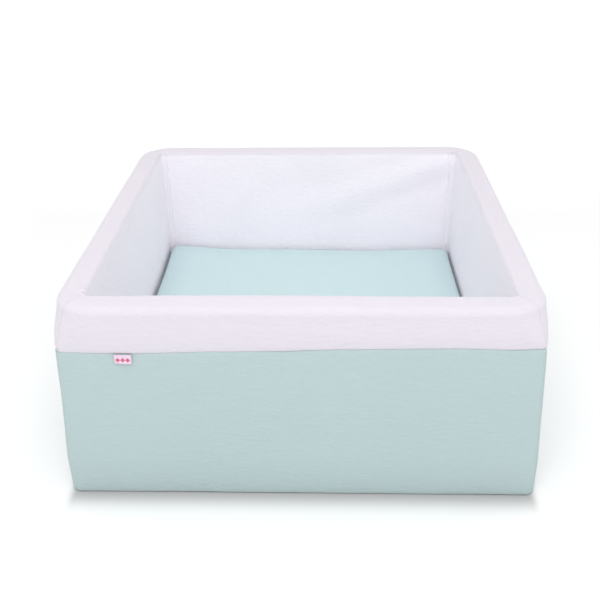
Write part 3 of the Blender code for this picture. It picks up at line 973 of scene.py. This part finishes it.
# %% Bar tacks
def bar_tack(zip_name, end, body):
    """The short block of thread past a stop that holds the two tapes together."""
    lower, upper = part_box(f"{zip_name}_tape_lower"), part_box(f"{zip_name}_tape_upper")
    stop_low, stop_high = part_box(f"{zip_name}_stop_{end}")
    low = Vector((lower[0][0], lower[0][1], lower[1][2] + GAP / 2))
    high = Vector((lower[1][0], lower[1][1], upper[0][2] - GAP / 2))
    if stop_low[0] > (low.x + high.x) / 2:
        low.x = stop_high[0] + GAP
    else:
        high.x = stop_low[0] - GAP
    bm = bmesh.new()
    place = Matrix.Translation((low + high) / 2) @ Matrix.Diagonal((*(high - low), 1))
    bmesh.ops.create_cube(bm, size=1, matrix=place)
    bmesh.ops.bevel(bm, geom=bm.edges[:], offset=GAP, affect="EDGES", segments=2, profile=0.5, material=-1)
    return finish_piece(f"{zip_name}_tack_{end}", bm, TAPE, body, [])


for zip_name, body in ZIPS:
    tacks = [bar_tack(zip_name, end, body) for end in ("closed", "open")]
    print(zip_name, len(tacks), "bar tacks")

# %% [markdown]
# ## Label
# A folded woven tape is caught in the seam at the left of the front. It is plain pale pink, with a
# row of three small diamonds in a deeper pink.


# %% The label
LABEL_THICK, LABEL_THREAD = 0.0014, 0.0006
LABEL_CURL, LABEL_WAVE = 0.0012, 0.0006
LABEL_PROUD = 0.0009  # how far it stands in front of its node's middle
MARK_STEP, MARK_HALF = 0.0090, 0.0045  # the diamonds' spacing and half their width
MARK_DROP = 0.0012  # how far they are below the label's middle
LABEL_DROP = seam_drop(Vector((LABEL_X, -FOOT_HALF, SEAM_Z)))


def label_finish():
    made = Finish("label_tape", roughness=0.55)
    x, _, z = made.parts(made.place())
    middle_z = (LABEL_LOW[2] + LABEL_HIGH[2]) / 2 - LABEL_DROP - MARK_DROP
    marks = 0.0
    for step in (-1, 0, 1):
        shape = (x - (LABEL_X + step * MARK_STEP)).size() + (z - middle_z).size()
        marks = (shape < MARK_HALF) + marks
    thread = (z * (FULL_TURN / LABEL_THREAD)).sine()
    made.feed("Base Color", made.mix(marks, (0.80, 0.64, 0.78), (0.62, 0.13, 0.22)))
    made.feed("Normal", made.bump(thread + marks * 2.0, 0.00012, 0.6))
    return made.material


def folded_label():
    low, high = Vector(LABEL_LOW), Vector(LABEL_HIGH)
    lean = math.atan2(FLARE, SEAM_Z - KNEE_Z)
    width, drop = high.x - low.x, high.z - low.z
    bm = bmesh.new()
    block = Matrix.Diagonal((width, LABEL_THICK, drop, 1))
    bmesh.ops.create_cube(bm, size=1, matrix=block)
    long_edges = [edge for edge in bm.edges if edge.calc_length() > 0.005]
    bmesh.ops.subdivide_edges(bm, edges=long_edges, cuts=9, use_grid_fill=True)
    for vert in bm.verts:
        down = (drop / 2 - vert.co.z) / drop
        vert.co.y -= LABEL_CURL * down ** 2 + LABEL_WAVE * down * math.sin(vert.co.x * 120)
    bmesh.ops.rotate(bm, verts=bm.verts, matrix=Matrix.Rotation(-lean, 3, "X"))
    hang = (low.z + high.z) / 2 - LABEL_DROP
    bmesh.ops.translate(bm, verts=bm.verts, vec=(LABEL_X, (low.y + high.y) / 2 - LABEL_PROUD, hang))
    finish_piece("label_folded", bm, label_finish(), "playpen", ["label"])


folded_label()
print("label at", round(LABEL_X, 3))

# %% [markdown]
# ## Finishes for the pieces that stay as they are
# The zips' tapes, stops, sliders and pull tab keep the model's own shapes and only get their finish.

# %% Carried-over pieces
carried = []
for name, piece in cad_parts.items():
    material = None
    if "tape" in name:
        material = TAPE
    elif "stop" in name or "slider" in name or "pull_tab" in name:
        material = METAL
    if material:
        piece.data.materials.clear()
        piece.data.materials.append(material)
        carried.append(name)
print("carried over", sorted(carried))

# %% [markdown]
# ## The floor
# A wide pale floor takes the soft shadow that seats the playpen. Part of that shadow, the dark line
# beside the foot, is painted shadow set in the floor's own colour.


# %% Floor
FAR_FLOOR = 0.9  # past this the floor glows a little, so that it ends as white as it starts
SHADOW_SIDE, SHADOW_FRONT = 0.012, 0.034  # how far the dark line beside the foot reaches
ROUNDED = 0.012  # it starts further in at the sides, because the foot's corners are round
FLOOR_HALF = 30


def studio_floor():
    made = Finish("studio_floor", roughness=0.9)
    x, y, _ = made.parts(made.place())
    past_side = (x.size() - (FOOT_HALF - ROUNDED)).most(0.0) * (1 / SHADOW_SIDE)
    past_front = (y.size() - FOOT_HALF).most(0.0) * (1 / SHADOW_FRONT)
    # Painted shadow: the floor's colour is darkened beside the foot, as a contact shadow.
    painted_contact_shadow = (0.0 - (past_side * past_side + past_front * past_front)).exponent()
    out = x.size().most(y.size())
    made.feed("Base Color", made.mix(painted_contact_shadow, (0.93, 0.93, 0.93), (0.48, 0.48, 0.48)))
    made.feed("Emission Color", made.mix((out - FAR_FLOOR) * 0.7, (0.0, 0.0, 0.0), (0.30, 0.30, 0.30)))
    made.shader.inputs["Emission Strength"].default_value = 1.0
    bm = bmesh.new()
    bmesh.ops.create_grid(bm, x_segments=1, y_segments=1, size=FLOOR_HALF)
    mesh = bpy.data.meshes.new("floor")
    bm.to_mesh(mesh)
    bm.free()
    mesh.materials.append(made.material)
    floor = bpy.data.objects.new("floor", mesh)
    bpy.context.scene.collection.objects.link(floor)


studio_floor()

# %% Update the scene
bpy.context.view_layer.update()
